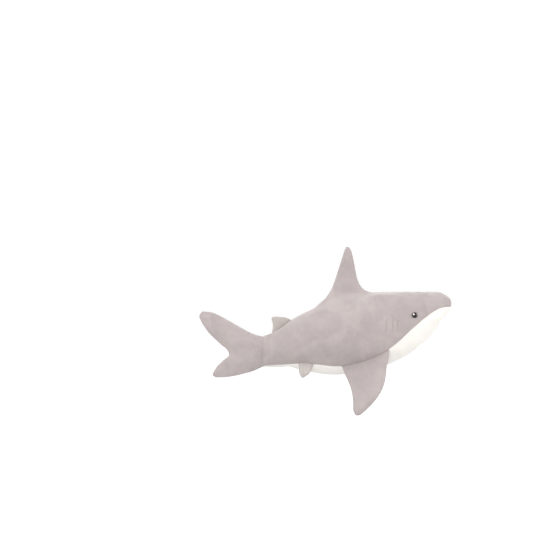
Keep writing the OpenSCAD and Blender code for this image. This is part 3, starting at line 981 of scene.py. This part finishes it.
def make_fins():
    """Every fin but the dorsal one, which is of a piece with the side panels."""
    x, top, bottom = SECTIONS[0][:3]
    low, high = np.array([x + STALK_LAP, bottom + STALK_TUCK]), np.array([x + STALK_LAP, top - STALK_TUCK])
    caudal = Fin(np.array([low, high]), joined(low, CAUDAL_LOW), joined(high, CAUDAL_HIGH), CAUDAL_REAR,
                 caudal_half, upright, 64, 48)
    root = back_line((SECOND_REAR[0][0], SECOND_FRONT[0][0]), SECOND_SINK)
    second = Fin(root, joined(root[0], SECOND_REAR[1:]), joined(root[-1], SECOND_FRONT[1:]), SECOND_TIP,
                 pillow(SECOND_HALF, 1.2), upright, 32, 22)
    made = {"caudal": caudal, "second": second}
    for kind, (rear, front, tip), splay, sink, full, columns, rows in (
            ("pectoral", (PECTORAL_REAR, PECTORAL_FRONT, PECTORAL_TIP), PECTORAL_SPLAY, PECTORAL_SINK,
             PECTORAL_HALF, 56, 56),
            ("pelvic", (PELVIC_REAR, PELVIC_FRONT, PELVIC_TIP), PELVIC_SPLAY, PELVIC_SINK,
             PELVIC_HALF, 30, 22)):
        ends = (rear[0][0], front[0][0])
        root = seam_line(ends)
        place = leaning(joints[f"{kind}_fin_left_flap"], splay, ends, sink)
        made[kind] = Fin(root, joined(root[0], rear[1:]), joined(root[-1], front[1:]), tip,
                         pillow(full, ROOT_PINCH), place, columns, rows)
    return made


def sew_middle_fins():
    """The fins on the middle plane: the tail fin and the second dorsal fin."""
    caudal_zone = bend_zone(CAUDAL_ZONE, CAUDAL_HEIGHT)
    second_zone = fold_zone("second_dorsal_fin_fold", SECOND_TURN)
    for kind, name, node, material, slot, zone, depth, lump in (
            ("caudal", "caudal_fin", "caudal_fin", GREY, "velour_grey", caudal_zone, 0.5, 0.5),
            # the second dorsal fin wears the paler copy of the grey velour: painted light
            ("second", "second_dorsal_fin", "second_dorsal", GREY_PAINTED_LIT, "velour_light_grey",
             second_zone, 0.3, 0.2)):
        fin = fins[kind]
        blend = ("tail", name, *zone)
        for side, made in zip(("left", "right"), fin.shells(depth, lump, len(kind))[::-1]):
            add_piece(f"{name}_{side}", made, material, [f"{node}_face_{side}"], blend)
        add_piece(f"{name}_pad", fin.pad(), FILLING, [f"{node}_filling"], blend)


def sew_side_fins():
    """The pectoral and pelvic fins, made on the left and mirrored to the right."""
    for kind, splay, material, slot, turn, depth, lump in (
            ("pectoral", PECTORAL_SPLAY, GREY, "velour_grey", PECTORAL_TURN, 0.5, 0.6),
            # the pelvic fin wears the paler copy of the grey velour: painted light
            ("pelvic", PELVIC_SPLAY, GREY_PAINTED_LIT, "velour_light_grey", PELVIC_TURN, 0.3, 0.2)):
        fin = fins[kind]
        zone = flap_zone(joints[f"{kind}_fin_left_flap"], splay, turn)
        shells = dict(zip(("outer", "inner"), fin.shells(depth, lump, len(kind))))
        pad = fin.pad()
        for side in ("left", "right"):
            blend = ("torso", f"{kind}_fin_{side}", *(tuple(p) for p in zone))
            for name, made in shells.items():
                node = f"{kind}_{name}_face_{side}"
                add_piece(f"{kind}_fin_{side}_{name}", made, material, [node], blend)
            add_piece(f"{kind}_pad_{side}", pad, FILLING, [f"{kind}_filling_{side}"], blend)
            zone = [p * FLIP for p in zone]
            shells = {name: mirrored(*made) for name, made in shells.items()}
            pad = mirrored(*pad)


# ---------------------------------------------------------------- filling of the body
def body_filling():
    """The body's filling, one mass from the tail stalk to the nose."""
    u = np.concatenate([half.u[1:-6:3], half.u[-6:-5]])[:, None]
    turns = 48
    grid = skin(*np.broadcast_arrays(u, np.linspace(0, 2 * np.pi, turns + 1)[:-1]), MASS_INSET)
    v = np.vstack([grid.reshape(-1, 3), grid[0].mean(0), grid[-1].mean(0)])
    last = (len(u) - 1) * turns
    faces = ring_faces(len(u), turns)
    faces += [[len(v) - 2, j, (j + 1) % turns] for j in range(turns)]
    faces += [[len(v) - 1, last + (j + 1) % turns, last + j] for j in range(turns)]
    return v * MM, faces


def dorsal_pad():
    """The dorsal fin's filling, inset from the cloth, down into the body."""
    rows, cols = half.fin_ids.shape
    ids = half.fin_ids[1:int(rows * 0.9):2, int(cols * 0.2):int(cols * 0.8):2]
    right = (half.v - half.normals * PAD_INSET)[ids.ravel()]
    right[:, 1] = np.minimum(right[:, 1], -0.12)
    faces = grid_faces(*ids.shape)
    if vertex_normals(right, faces)[:, 1].sum() > 0:
        faces = faces[:, ::-1]
    return closed(right * MM, right * FLIP * MM, faces)


def fill_body():
    nodes = ["body_filling", "tail_filling"]
    add_piece("body_filling_mass", body_filling(), FILLING, nodes, body_blend("tail"))
    nodes = ["dorsal_fin_filling"]
    add_piece("dorsal_pad", dorsal_pad(), FILLING, nodes, body_blend("dorsal"))


# ---------------------------------------------------------------- sewing it all
half = HalfBody()
ALL = half.cols - 1
fins = make_fins()


class Unstuffed:
    def moved(self, points):
        return points.copy()


def eye_spots():
    """Points of the skin that the eye buttons hold, on both sides."""
    turns = np.linspace(0, 2 * np.pi, 9)
    ring = eye_spot() + EYE_HOLD * np.column_stack([np.cos(turns), 0 * turns, np.sin(turns)])
    right = np.vstack([eye_spot(), ring])
    return np.vstack([right, right * FLIP])


def all_seams():
    lines = [half.back_seam, half.belly_seam, half.tail_seam]
    lines += [fin.seams() for fin in fins.values()]
    lines += [line * FLIP for line in lines] + [eye_spots()]
    dense = [np.vstack([line[:-1] + (line[1:] - line[:-1]) * t for t in (0, 0.5)]) for line in lines]
    return np.vstack(dense)


stuffing = Stuffing([half.solid(), *(fin.solid() for fin in fins.values())], all_seams())
half.shape_cloth()
sew_body()
sew_belly()
sew_middle_fins()
sew_side_fins()
fill_body()


# ---------------------------------------------------------------- eyes and gills
right_skin = BVHTree.FromPolygons((half.v * MM).tolist(), half.faces.tolist())


def eye_frame():
    """The right eye's place on the cut of the cloth, and its directions: along, up and out."""
    u = section_at(EYE_X)
    a = angle_at(u, EYE_Z)
    at = skin(u, a)
    ahead = skin(u + 0.05, a) - skin(u - 0.05, a)
    rise = skin(u, a - 0.02) - skin(u, a + 0.02)
    out = np.cross(ahead, rise)
    out /= np.linalg.norm(out)
    if out[1] > 0:
        out = -out
    ahead /= np.linalg.norm(ahead)
    return at, ahead, np.cross(out, ahead), out


def eye():
    """A domed button: a skirt sunk in the cloth, a rounded shoulder and the dome, turned in rings."""
    radius = (EYE_RADIUS**2 + EYE_HEIGHT**2) / (2 * EYE_HEIGHT)
    turn = math.asin(min(1.0, EYE_RADIUS / radius)) * (1 - np.linspace(0, 1, 14)[2:])
    dome = np.stack([radius * np.sin(turn), radius * (np.cos(turn) - 1) + EYE_HEIGHT], 1)
    skirt = [(0.0, -EYE_SKIRT), (EYE_RADIUS - 0.6, -EYE_SKIRT), (EYE_RADIUS - 0.1, 0.6 - EYE_SKIRT)]
    shoulder = [(EYE_RADIUS, -0.6), (EYE_RADIUS - 0.05, 0.1), (EYE_RADIUS - 0.3, 0.45)]
    profile = [*skirt, *shoulder, *dome]
    at, ahead, up, out = eye_frame()
    turns = 48
    points = [at + out * profile[0][1]]
    for r, h in profile[1:-1]:
        for k in range(turns):
            w = 2 * math.pi * k / turns
            points.append(at + r * (math.cos(w) * ahead + math.sin(w) * up) + h * out)
    points.append(at + out * profile[-1][1])
    faces = [[0, 1 + (k + 1) % turns, 1 + k] for k in range(turns)]
    rings = len(profile) - 2
    for i in range(rings - 1):
        a = 1 + i * turns
        b = a + turns
        faces += [[a + k, a + (k + 1) % turns, b + (k + 1) % turns, b + k] for k in range(turns)]
    last = 1 + (rings - 1) * turns
    faces += [[last + k, last + (k + 1) % turns, len(points) - 1] for k in range(turns)]
    return np.array(points) * MM, faces


def on_both_sides(name, points, faces, material, slot, node):
    """A piece on the torso's right side, and its mirror image on the left."""
    for side in ("right", "left"):
        add_piece(f"{name}_{side}", (points, faces), material, [f"{node}_{side}"])
        points, faces = points * FLIP, [f[::-1] for f in faces]


on_both_sides("eye_button", *eye(), EYE, "eye_black", "eye")
for side in ("right", "left"):
    washer = frame["nodes"][f"eye_washer_{side}"].data.materials
    washer.clear()
    washer.append(WASHER)


def gill_threads():
    """Three embroidered lines: short satin stitches laid side by side across each line."""
    stitch_half, thread_radius, pitch = 1.15 * MM, 0.33 * MM, 0.62 * MM
    ring, stations = 6, 5
    points, faces = [], []
    for x, top, foot in GILLS:
        count = int((top - foot) * MM / pitch)
        for k in range(count + 1):
            z = top + (foot - top) * k / count
            u = section_at(x + (z - top) * GILL_LEAN)
            spot = Vector(skin(u, angle_at(u, z)) * MM)
            at, n, _, _ = right_skin.find_nearest(spot)
            if n.y > 0:
                n = -n
            ahead = (Vector((1, 0, 0)) - n * n.x).normalized()
            ahead = (ahead + Vector((0, 0, 0.18)) * (1 if k % 2 else 0.7)).normalized()
            up = n.cross(ahead)
            length = stitch_half * (1 + 0.12 * math.sin(k * 2.4))
            first = len(points)
            for i in range(stations):
                t = i / (stations - 1) * 2 - 1
                centre = at + ahead * length * t + n * thread_radius * (0.9 - 1.5 * t * t)
                r = thread_radius * math.sqrt(max(1 - 0.8 * t * t, 0.05))
                for j in range(ring):
                    w = 2 * math.pi * j / ring
                    points.append(centre + n * r * math.sin(w) + up * r * math.cos(w))
            faces += ring_faces(stations, ring, first)
            faces.append([first + j for j in range(ring)])
            faces.append([first + (stations - 1) * ring + j for j in reversed(range(ring))])
    return np.array(points), faces


on_both_sides("gill_threads", *gill_threads(), THREAD, "gill_thread", "gill_stitches")


# ---------------------------------------------------------------- stage, light and camera
def lay_floor():
    corners = [(-1, -1), (1, -1), (1, 1), (-1, 1)]
    points = [(x * FLOOR_HALF, y * FLOOR_HALF, FLOOR_Z) for x, y in corners]
    floor = mesh_object("floor", points, [(0, 1, 2, 3)], paper("floor_paper"))
    floor.visible_diffuse = False    # the surround lights the toy from below, not the paper's glow
    floor.visible_glossy = False


def surround():
    """A white surround: plain to the camera, brighter from below to the toy, dimmer in reflections."""
    world = bpy.data.worlds.new("studio")
    world.use_nodes = True
    tree = Tree(world.node_tree)
    up = tree.add("SeparateXYZ", {"Vector": tree.add("TexCoord", {}).outputs["Generated"]}).outputs["Z"]
    ray = tree.add("LightPath", {}).outputs
    lit = tree.spread(up, SKY_BELOW, SKY_ABOVE, -1, 1)
    glint = tree.spread(ray["Is Glossy Ray"], 1, SKY_GLINT, 0, 1)
    unseen = tree.maths("MULTIPLY", lit, glint)
    strength = tree.spread(ray["Is Camera Ray"], unseen, SKY_SEEN, 0, 1)
    tree.put(world.node_tree.nodes["Background"], {"Color": (1, 1, 1, 1), "Strength": strength})
    bpy.context.scene.world = world


def softbox(name, direction, size, power, fabric=True):
    """A square soft light that faces the toy from a direction, out of the camera's sight. One that
    isn't for the fabric only shows in glossy things."""
    data = bpy.data.lights.new(name, "AREA")
    data.shape = "SQUARE"
    data.size = size
    data.energy = power
    light = bpy.data.objects.new(name, data)
    light.location = Vector(direction).normalized() * LIGHT_DISTANCE
    light.rotation_euler = (-light.location).to_track_quat("-Z", "Y").to_euler()
    light.visible_camera = False
    light.visible_diffuse = fabric
    bpy.context.scene.collection.objects.link(light)


def set_camera():
    data = bpy.data.cameras.new("camera")
    data.lens, data.sensor_width = LENS, SENSOR
    camera = bpy.data.objects.new("camera", data)
    camera.location = (CAMERA_X, -FRAME_WIDTH * LENS / SENSOR, CAMERA_Z)
    camera.rotation_euler = (math.radians(90), 0, 0)
    bpy.context.scene.collection.objects.link(camera)
    bpy.context.scene.camera = camera


lay_floor()
surround()
softbox("front", (-0.31, -0.86, 0.41), 1.5, 36)
softbox("nose_side", (0.9, -0.3, 0.25), 1.6, 40)
softbox("top", (-0.65, -0.1, 0.8), 2.0, 38)
softbox("back", (-0.3, 0.9, 0.45), 1.8, 20)
softbox("catch_light", (-0.46, -0.74, 0.50), 2.3, 640, fabric=False)
set_camera()
bpy.context.scene.view_settings.view_transform = "Standard"
